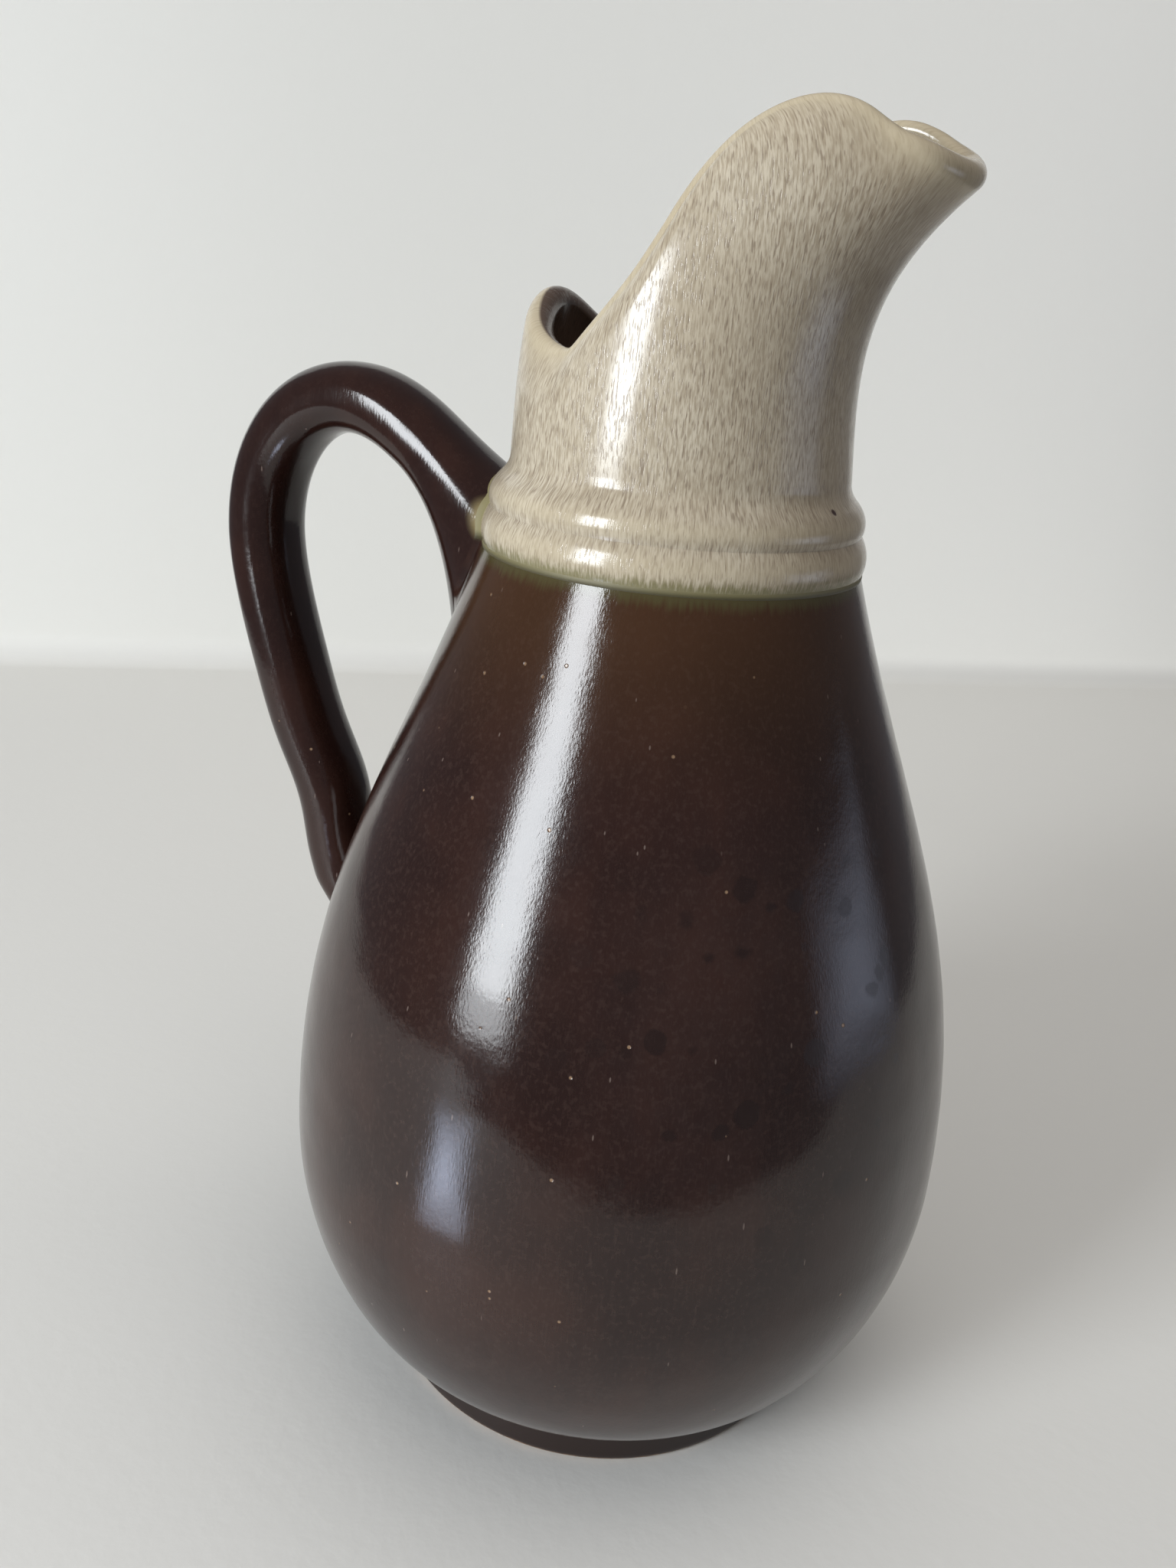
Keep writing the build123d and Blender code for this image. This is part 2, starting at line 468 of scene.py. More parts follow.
@dataclass(frozen=True)
class BrownGlaze:
    """Glossy chocolate glaze: cloudy, with oil spots, pinholes and fine scratches, and a painted grey haze
    of reflection where the spots are.
    """

    deep: Colour = tone(34, 19, 16)
    warm: Colour = tone(49, 29, 23)
    spot: Colour = tone(29, 17, 15)
    # painted reflection: the grey haze that the cool side window shows in the glaze at the front right
    painted_haze: Colour = tone(56, 46, 44)
    grain: Colour = tone(66, 50, 44)
    amber: Colour = tone(70, 46, 24)
    fringe: Colour = tone(72, 66, 40)
    pinhole: Colour = tone(150, 122, 96)
    scratch: Colour = tone(128, 112, 104)
    # the handle's spot of cream glaze, with painted shade: darkened to the olive it looks in the collar's
    # shade
    cream: Colour = tone(158, 142, 102)
    roughness: float = 0.09
    refraction: float = 1.46
    body_grain: float = 0.26
    strap_grain: float = 0.1
    cloud_scale: float = 0.035
    grain_scale: float = 1.3
    uneven_scale: float = 0.4
    smear_scale: float = 0.25
    wave_scale: float = 0.11
    peel_scale: float = 1.1
    run_stretch: tuple = (0.22, 0.22, 0.03)
    streak_stretch: tuple = (4.0, 4.0, 0.2)
    scratch_stretch: tuple = (1.5, 1.5, 0.3)
    scratch_leans: tuple = (0.6, -0.9)
    spot_scale: float = 0.17
    pinhole_scale: float = 0.3
    scratch_scale: float = 0.5
    wave_depth: float = 0.12
    peel_depth: float = 0.012
    streak_depth: float = 0.013
    pinhole_depth: float = -0.05
    band_top: float = 143.6
    band_depth: float = 30.0
    fringe_depth: float = 1.1
    fringe_ragged: float = 2.4
    fringe_radius: float = 29.0
    fringe_span: tuple = (0.2, 2.3)
    root_spot: tuple = (-26.8, -12.0, 148.0)
    root_spot_size: float = 6.0
    spotted: tuple = (40.0, -34.0, 88.0)
    spotted_size: float = 34.0

    def material(self, coat: Coat) -> bpy.types.Material:
        """Builds the glaze.

        Args:
            coat: Piece that it covers.

        Returns:
            The finished material.
        """
        graph = Graph(f"brown_glaze_{coat.name.lower()}")
        place = graph.place()
        cloud = graph.noise(place, self.cloud_scale, 3.0)
        runs = graph.noise(graph.stretched(place, self.run_stretch), 1.0, 3.0)
        streaks = graph.noise(graph.stretched(place, self.streak_stretch), 1.0, 2.0)
        grain = graph.noise(place, self.grain_scale, 3.0).step(0.48, 0.7) + 0.6 * streaks.step(0.5, 0.72)
        grain_share = self.body_grain if coat is Coat.BODY else self.strap_grain
        distance, chance = graph.cells(place, self.spot_scale)
        uneven = graph.noise(place, self.uneven_scale, 2.0)
        blotch = graph.near(place, self.spotted, 0.5 * self.spotted_size, 1.2 * self.spotted_size)
        spots = (distance - 0.3 * chance + 0.3 * uneven).step(0.24, 0.14) * chance.step(0.25, 0.35) * blotch
        hole_distance, hole_chance = graph.cells(place, self.pinhole_scale)
        holes = hole_distance.step(0.1, 0.05) * hole_chance.step(0.84, 0.87)
        first, second = (self._scratches(graph, place, lean) for lean in self.scratch_leans)
        colour = graph.layers(
            self.deep,
            ((0.8 * cloud + 0.2 * runs).step(0.36, 0.66), self.warm),
            (grain_share * grain, self.grain),
            # painted reflection: grey haze laid over the spotted front right of the body
            (0.3 * blotch * uneven, self.painted_haze),
            (0.75 * spots, self.spot),
            (0.75 * holes, self.pinhole),
            (0.5 * (first + second), self.scratch),
            *self._dip(graph, place, coat),
        )
        normal = graph.relief(
            (graph.noise(place, self.wave_scale, 1.0), self.wave_depth),
            (graph.noise(place, self.peel_scale, 2.0), self.peel_depth),
            (streaks, self.streak_depth),
            (holes, self.pinhole_depth),
        )
        roughness = self.roughness + 0.08 * graph.noise(place, self.smear_scale, 3.0) + 0.16 * spots
        sockets = {"Base Color": colour, "Roughness": roughness, "Normal": normal, "IOR": self.refraction}
        return graph.surface(sockets)

    def _dip(self, graph: Graph, place: Socket, coat: Coat) -> list[tuple[Number, Colour]]:
        """The coats where the brown glaze meets the pale one.

        Args:
            graph: The glaze's nodes.
            place: The point on the piece.
            coat: Piece that the glaze covers.

        Returns:
            An amber band and a ragged olive fringe on the pot, or a cream spot on the handle.
        """
        if coat is Coat.STRAP:
            spot = graph.near(place, self.root_spot, 0.5 * self.root_spot_size, self.root_spot_size)
            # cream glaze that is really there, painted darker for the shade of the collar over it
            return [(spot, self.cream)]
        height = graph.part(place, "Z")
        ragged = graph.noise(graph.upright(place, self.fringe_radius, 0.1), 2.0, 3.0)
        band = height.step(self.band_top - self.band_depth, self.band_top)
        line = self.band_top - self.fringe_depth
        edge = (height - line + self.fringe_ragged * ragged).step(*self.fringe_span)
        # An amber band and a ragged olive fringe on the pot, or a cream spot on the handle, with painted
        # shade in its colour.
        return [(0.55 * band, self.amber), (0.9 * edge, self.fringe)]

    def _scratches(self, graph: Graph, place: Socket, lean: float) -> Number:
        """Short fine strokes: stretched cells, few of them kept.

        Args:
            graph: The glaze's nodes.
            place: The point on the piece.
            lean: Angle of the strokes, in radians.

        Returns:
            1 in a stroke and 0 beside it.
        """
        stroke = graph.stretched(place, self.scratch_stretch, (lean, 0.4 * lean, 0.0))
        distance, chance = graph.cells(stroke, self.scratch_scale)
        return distance.step(0.12, 0.06) * chance.step(0.935, 0.945)


@dataclass(frozen=True)
class OatmealGlaze:
    """Satin oatmeal glaze with fine upright specks, yellower where it breaks over an edge, with painted
    shade towards the spout's front.
    """

    pale: Colour = tone(194, 183, 163)
    mid: Colour = tone(184, 172, 151)
    speck: Colour = tone(126, 111, 94)
    fine: Colour = tone(152, 138, 117)
    cream: Colour = tone(190, 175, 142)
    moss: Colour = tone(116, 110, 74)
    # painted shade: the darker tone spread over the spout's front, where less light falls
    thin: Colour = tone(136, 118, 94)
    iron: Colour = tone(58, 36, 26)
    inside: Colour = tone(66, 46, 38)
    roughness: float = 0.12
    refraction: float = 1.5
    cloud_scale: float = 0.06
    ragged_scale: float = 0.5
    wave_scale: float = 0.14
    fine_scale: float = 4.2
    coarse_scale: float = 4.6
    streak_radius: float = 26.0
    streak_share: float = 0.14
    wave_depth: float = 0.12
    speck_depth: float = -0.012
    pool_height: float = 144.4
    pool_soft: float = 1.0
    inside_line: float = 193.0
    inside_soft: float = 3.0
    inside_slant: float = 0.9
    iron_point: tuple = (26.2, -6.3, 154.8)
    iron_size: float = 0.75
    front_shade_span: tuple = (12.0, 42.0)

    def material(self) -> bpy.types.Material:
        """Builds the glaze.

        Returns:
            The finished material.
        """
        graph = Graph("oatmeal_glaze")
        place = graph.place()
        height, forward = graph.part(place, "Z"), graph.part(place, "X")
        edge = graph.mark("edge")
        worn = 1 - 0.5 * edge
        cloud = graph.noise(place, self.cloud_scale, 3.0)
        ragged = graph.noise(place, self.ragged_scale, 2.0)
        upright = graph.upright(place, self.streak_radius, self.streak_share)
        fine = graph.noise(upright, self.fine_scale, 3.0).step(0.34, 0.68)
        coarse = graph.noise(upright, self.coarse_scale, 1.0).step(0.54, 0.7)
        pool_line = height - 1.2 * ragged - 0.8 * fine
        pool = pool_line.step(self.pool_height + self.pool_soft, self.pool_height - self.pool_soft)
        iron = graph.near(place, self.iron_point, 0.6 * self.iron_size, self.iron_size)
        slant = height + self.inside_slant * forward + 3.0 * ragged
        deep = slant.step(self.inside_line + self.inside_soft, self.inside_line - self.inside_soft)
        colour = graph.layers(
            self.mid,
            (cloud.step(0.38, 0.66), self.pale),
            (0.85 * fine * worn, self.fine),
            (0.7 * coarse * worn, self.speck),
            # painted shade: darker towards the spout's front, which turns away from the light
            (0.5 * forward.step(*self.front_shade_span) * worn, self.thin),
            (0.35 * edge, self.cream),
            (0.9 * pool, self.moss),
            (iron, self.iron),
            (0.92 * deep * graph.mark("inside"), self.inside),
        )
        wave = graph.noise(place, self.wave_scale, 1.0)
        normal = graph.relief((wave, self.wave_depth), (coarse, self.speck_depth))
        roughness = self.roughness + 0.1 * cloud + 0.08 * coarse
        sockets = {"Base Color": colour, "Roughness": roughness, "Normal": normal, "IOR": self.refraction}
        return graph.surface(sockets)


@dataclass(frozen=True)
class BareStoneware:
    """Dark brown stoneware of the foot: glazed thinly at the side, wiped bare where it stands."""

    side: Colour = tone(36, 23, 19)
    broken: Colour = tone(70, 50, 38)
    bare: Colour = tone(146, 118, 92)
    grit: Colour = tone(88, 66, 52)
    roughness: float = 0.3
    bare_roughness: float = 0.75
    ragged_scale: float = 0.35
    grain_scale: float = 2.2
    grit_depth: float = 0.06
    wiped_height: float = 1.6
    wiped_soft: float = 0.7

    def material(self) -> bpy.types.Material:
        """Builds the finish.

        Returns:
            The finished material.
        """
        graph = Graph("bare_stoneware")
        place = graph.place()
        ragged = graph.noise(place, self.ragged_scale, 3.0)
        grain = graph.noise(place, self.grain_scale, 3.0)
        wiped_line = graph.part(place, "Z") + 0.8 * ragged
        wiped = wiped_line.step(self.wiped_height, self.wiped_height - self.wiped_soft)
        clay = graph.layers(self.bare, (grain.step(0.45, 0.7), self.grit))
        broken = graph.mark("edge") * ragged.step(0.35, 0.6)
        colour = graph.layers(self.side, (broken, self.broken), (wiped, clay))
        roughness = self.roughness + (self.bare_roughness - self.roughness) * wiped
        normal = graph.relief((grain * wiped, self.grit_depth))
        return graph.surface({"Base Color": colour, "Roughness": roughness, "Normal": normal})


@dataclass(frozen=True)
class FiredSlip:
    """Slip in a joint under thin brown glaze, which turns pale and mossy at the dip line."""

    thin: Colour = tone(36, 21, 17)
    pooled: Colour = tone(50, 31, 24)
    moss: Colour = tone(76, 71, 44)
    pale: Colour = tone(126, 118, 84)
    roughness: float = 0.1
    matt: float = 0.4
    cloud_scale: float = 0.25
    peel_scale: float = 0.9
    peel_depth: float = 0.03
    dip_line: float = 144.3
    moss_span: tuple = (-1.5, -0.2)
    pale_span: tuple = (-0.7, 0.5)

    def material(self, name: str) -> bpy.types.Material:
        """Builds the finish under a name.

        Args:
            name: Name of the joint's finish.

        Returns:
            The finished material.
        """
        graph = Graph(f"fired_slip_{name}")
        place = graph.place()
        above = graph.part(place, "Z") - self.dip_line
        cloud = graph.noise(place, self.cloud_scale, 3.0)
        mossy = above.step(*self.moss_span)
        colour = graph.layers(
            self.thin,
            (cloud.step(0.35, 0.65), self.pooled),
            (mossy, self.moss),
            (above.step(*self.pale_span), self.pale),
        )
        normal = graph.relief((graph.noise(place, self.peel_scale, 2.0), self.peel_depth))
        roughness = self.roughness + 0.1 * cloud + self.matt * mossy
        return graph.surface({"Base Color": colour, "Roughness": roughness, "Normal": normal})


@dataclass
class Pot:
    """The thrown body, the turned foot ring and the slip between them."""

    foot_radius: float = 38.4
    foot_width: float = 7.4
    foot_height: float = 6.4
    foot_round: float = 1.4
    foot_soft: float = 0.5
    foot_worn: float = 1.2
    slip: float = 0.8
    slip_groove: float = 0.3
    base_radius: float = 38.0
    base_flare: tuple = (11.3, 4.6)
    belly_radius: float = 56.0
    belly_height: float = 37.8
    belly_fall: float = 15.0
    belly_rise: float = 42.0
    shoulder_radius: float = 28.9
    shoulder_fall: float = 36.0
    shoulder_lean: float = 0.33
    height: float = 136.4
    wall: float = 4.2
    floor: float = 6.0
    ring_depth: float = 0.02
    ring_pitch: float = 9.0
    unevenness: float = 0.14
    uneven_height: float = 26.0
    uneven_start: float = 0.7
    calm_height: float = 20.0
    pole_share: float = 0.03
    short_rows: int = 9
    lower_rows: int = 60
    upper_rows: int = 110
    columns: int = 256

    @property
    def base(self) -> float:
        """Height of the body's base above the table."""
        return self.foot_height + self.slip

    @property
    def shoulder(self) -> float:
        """Height of the body's top edge above the table."""
        return self.base + self.height

    def side(self) -> np.ndarray:
        """The outer wall from base to shoulder: two Bezier curves that meet upright at the belly.

        Returns:
            Radius and height of each row.
        """
        base = np.array([self.base_radius, self.base])
        belly = np.array([self.belly_radius, self.base + self.belly_height])
        top = np.array([self.shoulder_radius, self.shoulder])
        lean = np.array([self.shoulder_lean * self.shoulder_fall, -self.shoulder_fall])
        fall, rise = np.array([0, self.belly_fall]), np.array([0, self.belly_rise])
        lower_share, upper_share = np.linspace(0, 1, self.lower_rows), np.linspace(0, 1, self.upper_rows)
        lower = bezier([base, base + self.base_flare, belly - fall, belly], lower_share)
        upper = bezier([belly, belly + rise, top + lean, top], upper_share)
        return np.vstack([lower, upper[1:]])

    def body(self) -> bpy.types.Object:
        """The pot: underside, outer wall, top edge, inner wall and floor, carried round the axis.

        The outer wall is drawn in by faint throwing rings, a sine of the height plus the turn, and
        by a slow unevenness, a sine of twice the turn times a sine of the height.

        Returns:
            The body.
        """
        outer = self.side()
        inner = outer[::-2] - (self.wall, 0)
        inner = inner[inner[:, 1] > self.base + self.floor]
        across = np.linspace(self.pole_share, 1, self.short_rows)[:, None]
        under = across[:-1] * (self.base_radius, 0) + (0, self.base)
        floor = across[::-1] * (inner[-1, 0], 0) + (0, self.base + self.floor)
        outline = np.vstack([under, outer, inner, floor])
        points = turned(outline, self.columns)
        turn = round_steps(self.columns)
        height = outer[:, 1:]
        rings = 0.5 + 0.5 * np.sin(2 * np.pi * height / self.ring_pitch + turn)
        slow = 0.5 + 0.5 * np.sin(2 * turn + self.uneven_start) * np.sin(height / self.uneven_height)
        calm = ease(height, self.base, self.base + self.calm_height)
        calm = calm * ease(height, self.shoulder, self.shoulder - self.calm_height)
        inward = calm * (self.ring_depth * rings + self.unevenness * slow)
        rows = slice(len(under), len(under) + len(outer))
        points[rows, :, :2] *= 1 - (inward / outer[:, :1])[..., None]
        return skin("jug_body", points, Ends.POLES, {})

    def foot_ring(self) -> bpy.types.Object:
        """The foot: a rectangle with rounded outer and lower corners, carried round the axis.

        A rounded corner is a quarter circle: the radius times a sine across, and times one less a
        cosine up.

        Returns:
            The foot ring.
        """
        inner, outer, high = self.foot_radius - self.foot_width, self.foot_radius, self.foot_height
        quarter = np.linspace(0, np.pi / 2, self.short_rows)
        wave, fall = np.sin(quarter), 1 - np.cos(quarter)
        share = np.linspace(0, 1, self.short_rows)[1:]
        radius, soft = self.foot_round, self.foot_soft
        right = np.column_stack([outer - radius + radius * wave, radius * fall])
        left = np.column_stack([inner + radius - radius * wave, radius * fall])[::-1]
        rise = radius + share[:-1] * (high - soft - radius)
        side = np.column_stack([0 * rise + outer, rise])
        over = np.column_stack([outer - soft * fall, high - soft + soft * wave])
        back = np.column_stack([outer - soft - share * (self.foot_width - soft), 0 * share + high])
        outline = np.vstack([right, side, over, back, left[:-1]])
        edge = ease(outline[:, 1:], high - self.foot_worn, high) + np.zeros((1, self.columns))
        return skin("jug_foot_ring", turned(outline, self.columns), Ends.LOOP, {"edge": edge})

    def foot_slip(self) -> bpy.types.Object:
        """The slip on the foot: a flat ring whose outer edge is hollow, by four t times one less t.

        Returns:
            The slip ring.
        """
        share = np.linspace(0, 1, self.short_rows)
        groove = self.base_radius - 4 * self.slip_groove * share * (1 - share)
        outline = flat_ring(groove, self.foot_height, self.base, self.foot_radius - self.foot_width)
        return skin("jug_foot_slip", turned(outline, self.columns), Ends.LOOP, {})


@dataclass(frozen=True)
class Bead:
    """One bead of the collar: its height, and how far it bulges."""

    height: float
    bulge: float


@dataclass
class Neck:
    """The neck with its beaded collar, beaked spout and back tab, and the slip under it."""

    pot: Pot
    lower_bead: Bead = Bead(5.4, 0.7)
    upper_bead: Bead = Bead(4.4, 0.7)
    bead_rows: int = 15
    bead_wear: float = 0.6
    bead_step: float = 0.9
    sweep: float = 3.4
    radius: float = 25.4
    wall: float = 3.4
    rise: float = 51.0
    beak_reach: float = 38.0
    beak_pinch: float = 12.0
    front_hollow: float = 5.8
    back_lean: float = 3.5
    widest_shift: float = 5.0
    beak_sharpness: float = 3.2
    pinch_sharpness: float = 2.2
    lean_sharpness: float = 2.0
    rim_skew: float = -9.0
    rim_places: tuple = (-8.0, 3.0, 13.5, 20.5, 29.0, 37.0, 101.4)
    rim_heights: tuple = (16.0, 28.8, 46.2, 49.3, 47.4, 40.8, 40.2)
    tab_middle: float = -4.0
    tab_half_width: float = 20.5
    tab_rise: float = 7.0
    roll_depth: float = 8.0
    roll_in_sides: float = 2.0
    roll_in_ends: float = 0.2
    roll_ends: tuple = (0.5, 0.9)
    roll_thicken: float = 1.0
    steepest: float = 2.2
    line_steps: int = 600
    rim_start: float = 0.5
    rim_steps: int = 1600
    rim_softening: int = 14
    edge_fade: float = 1.4
    slip_bulge: float = 0.075
    wall_rows: int = 72
    rim_rows: int = 15
    throat_rows: int = 14
    seat_rows: int = 6
    columns: int = 440

    @property
    def collar(self) -> float:
        """Height of the collar's lower edge above the table."""
        return self.pot.shoulder + self.pot.slip

    @property
    def foot(self) -> float:
        """Height where the neck starts, above the collar."""
        return self.collar + self.lower_bead.height + self.upper_bead.height + self.sweep

    def collar_side(self) -> np.ndarray:
        """The collar from its lower edge to the neck: two beads and a hollow curve.

        A bead is a straight run plus its bulge times four t times one less t. The curve leaves the
        upper bead at half a right angle and reaches the neck upright.

        Returns:
            Radius and height of each row.
        """
        share = np.linspace(0, 1, self.bead_rows)[:, None]
        bow = 4 * share * (1 - share)
        low = np.array([self.pot.shoulder_radius, self.collar])
        middle = low + (-self.bead_step, self.lower_bead.height)
        high = middle + (-self.bead_step, self.upper_bead.height)
        lower = low + share * (middle - low) + bow * (self.lower_bead.bulge, 0)
        upper = middle + share * (high - middle) + bow * (self.upper_bead.bulge, 0)
        end = np.array([self.radius, self.foot])
        reach = np.array([self.radius - high[0], -self.radius + high[0]])
        sweep = bezier([high, high + 0.5 * reach, end - (0, 0.5 * self.sweep), end], share[:, 0])
        return np.vstack([lower, upper[1:], sweep[1:]])

    def outer(self, turn: np.ndarray, height: np.ndarray) -> np.ndarray:
        """The neck's outer wall: each level is two half ellipses that meet where it is widest.

        The front runs out, the back leans in and the sides pinch in, each by a power of the rise.
        The front first hollows a little, by an even share of the rise.

        Args:
            turn: Angle round the level, 0 at the front.
            height: Height above the table.

        Returns:
            Points, with three parts in the last axis.
        """
        rise = np.maximum((height - self.foot) / self.rise, 0)
        front = self.radius + self.beak_reach * rise**self.beak_sharpness - self.front_hollow * rise
        back = self.radius - self.back_lean * rise**self.lean_sharpness
        side = self.radius - self.beak_pinch * rise**self.pinch_sharpness
        widest = self.widest_shift * rise
        reach = np.where(np.cos(turn) > 0, front - widest, back + widest)
        return np.stack([widest + reach * np.cos(turn), side * np.sin(turn), height + 0 * turn], -1)

    def outward(self, turn: np.ndarray, height: np.ndarray) -> np.ndarray:
        """Directions that stand out from the outer wall: the cross product of its two slopes.

        Args:
            turn: Angle round the level, 0 at the front.
            height: Height above the table.

        Returns:
            Vectors of length one, with three parts in the last axis.
        """
        small = 1e-3
        round_slope = self.outer(turn + small, height) - self.outer(turn - small, height)
        up_slope = self.outer(turn, height + small) - self.outer(turn, height - small)
        return unit(np.cross(round_slope, up_slope))

    def cut(self, points: np.ndarray) -> np.ndarray:
        """Height of the rim's cut over each point.

        Ahead of the notch it is the spout's line, seen from the side. Behind it the rim is level,
        with a tab whose height is a squared cosine across the jug.

        Args:
            points: Places, with three parts in the last axis.

        Returns:
            Height of the cut above the table.
        """
        skew = math.radians(self.rim_skew)
        along = points[..., 0] * math.cos(skew) + points[..., 1] * math.sin(skew)
        across = points[..., 1] * math.cos(skew) - points[..., 0] * math.sin(skew)
        line = through(np.column_stack([self.rim_places, self.rim_heights]), self.line_steps)
        spout = np.interp(along, line[:, 0], line[:, 1])
        sideways = np.clip((across - self.tab_middle) / self.tab_half_width, -1, 1)
        tab = self.tab_rise * np.cos(np.pi / 2 * sideways) ** 2
        return self.foot + np.where(along > self.rim_places[0], spout, self.rim_heights[0] + tab)

    def rim(self, turn: np.ndarray) -> np.ndarray:
        """Height where the outer wall first meets the cut, softened round the rim.

        Each softening gives a column half its own height and a quarter of each neighbour's.

        Args:
            turn: Angle of each column.

        Returns:
            Height of the rim at each column.
        """
        heights = self.foot + np.linspace(self.rim_start, self.rise, self.rim_steps)[:, None]
        above = heights - self.cut(self.outer(turn, heights)) >= 0
        height = heights[np.argmax(above, axis=0), 0]
        for _ in range(self.rim_softening):
            height = (np.roll(height, 1) + 2 * height + np.roll(height, -1)) / 4
        return height

    def spout(self) -> bpy.types.Object:
        """The neck: collar, outer wall, half-round rim, inner wall and throat in one closed loop.

        The rim is a half circle as wide as the wall, square to the rim's line. The inner wall is
        the outer one moved in by the wall along its own outward direction. Near the rim both walls
        lean inwards, by the square of what is left of the roll's depth: the sides more than the
        lip and the tab.

        Returns:
            The neck and spout.
        """
        turn = round_steps(self.columns)
        top = self.rim(turn)
        crest = self.outer(turn, top)
        run = np.roll(crest, -1, 0) - np.roll(crest, 1, 0)
        steep = run[:, 2] / np.linalg.norm(run[:, :2], axis=1)
        spring = top - self.wall / 2 * np.minimum(np.sqrt(1 + steep**2), self.steepest)
        share = np.linspace(0, 1, self.wall_rows)[:, None]
        heights = self.foot + share * (spring - self.foot)
        left = spring - heights
        rolled = (np.maximum(0, 1 - left / self.roll_depth) ** 2)[..., None]
        ends = ease(np.abs(np.cos(turn)), *self.roll_ends)[:, None]
        roll_in = self.roll_in_sides + (self.roll_in_ends - self.roll_in_sides) * ends
        outer, outward = self.outer(turn, heights), self.outward(turn, heights)
        wall_out = outer - roll_in * rolled * outward
        wall_in = outer - (self.wall + self.roll_thicken * rolled) * outward
        across = wall_out[-1] - wall_in[-1]
        half = np.linalg.norm(across, axis=-1, keepdims=True) / 2
        middle = (wall_out[-1] + wall_in[-1]) / 2
        tangent = unit(np.roll(middle, -1, 0) - np.roll(middle, 1, 0))
        upward = unit(np.cross(unit(across), tangent))
        bend = np.linspace(0, np.pi, self.rim_rows)[1:-1, None, None]
        roll = middle + half * (np.cos(bend) * unit(across) + np.sin(bend) * upward)
        collar = turned(self.collar_side()[:-1], self.columns)
        throat = turned(self.throat_side(), self.columns)
        points = np.vstack([collar, wall_out, roll, wall_in[::-1], throat])
        worn = np.exp(-left / self.edge_fade)
        plain_collar, plain_throat = np.zeros(collar.shape[:2]), np.zeros(throat.shape[:2])
        edge = np.vstack([plain_collar, worn, np.ones(roll.shape[:2]), worn[::-1], plain_throat])
        bead_rows = 2 * self.bead_rows - 1
        edge[:bead_rows] = self.bead_wear * np.sin(np.linspace(0, 2 * np.pi, bead_rows))[:, None] ** 2
        inside = np.zeros(edge.shape)
        inside[len(collar) + len(wall_out) + len(roll) // 2:] = 1
        return skin("jug_neck_spout", points, Ends.LOOP, {"edge": edge, "inside": inside})

    def throat_side(self) -> np.ndarray:
        """The throat from the neck's foot to the collar's lower edge, then out under the collar.

        Returns:
            Radius and height of each row.
        """
        narrow = np.array([self.radius - self.wall, self.foot])
        wide = np.array([self.pot.shoulder_radius - self.pot.wall, self.collar])
        pull = (self.foot - self.collar) / 3
        lean = np.array([-self.pot.shoulder_lean * pull, pull])
        curve = bezier([narrow, narrow - (0, pull), wide + lean, wide], np.linspace(0, 1, self.throat_rows))
        out = np.linspace(0, 1, self.seat_rows)[1:-1, None] * (self.pot.wall, 0) + wide
        return np.vstack([curve[1:], out])

    def slip(self) -> bpy.types.Object:
        """The slip under the collar: a flat ring that bulges, by four t times one less t.

        Returns:
            The slip ring.
        """
        share = np.linspace(0, 1, self.pot.short_rows)
        outer = self.pot.shoulder_radius
        bulge = outer + 4 * self.slip_bulge * share * (1 - share)
        outline = flat_ring(bulge, self.pot.shoulder, self.collar, outer - self.pot.wall)
        return skin("jug_neck_slip", turned(outline, self.pot.columns), Ends.LOOP, {})


@dataclass(frozen=True)
class Flare:
    """How the strap grows over a length towards a root: its section's two sizes, and inwards."""

    length: float
    thickness: float
    width: float
    inward: float

    def share(self, away: np.ndarray) -> np.ndarray:
        """How much it has grown at a length away from the root: the square of what is left of it."""
        return np.maximum(0, 1 - away / self.length) ** 2


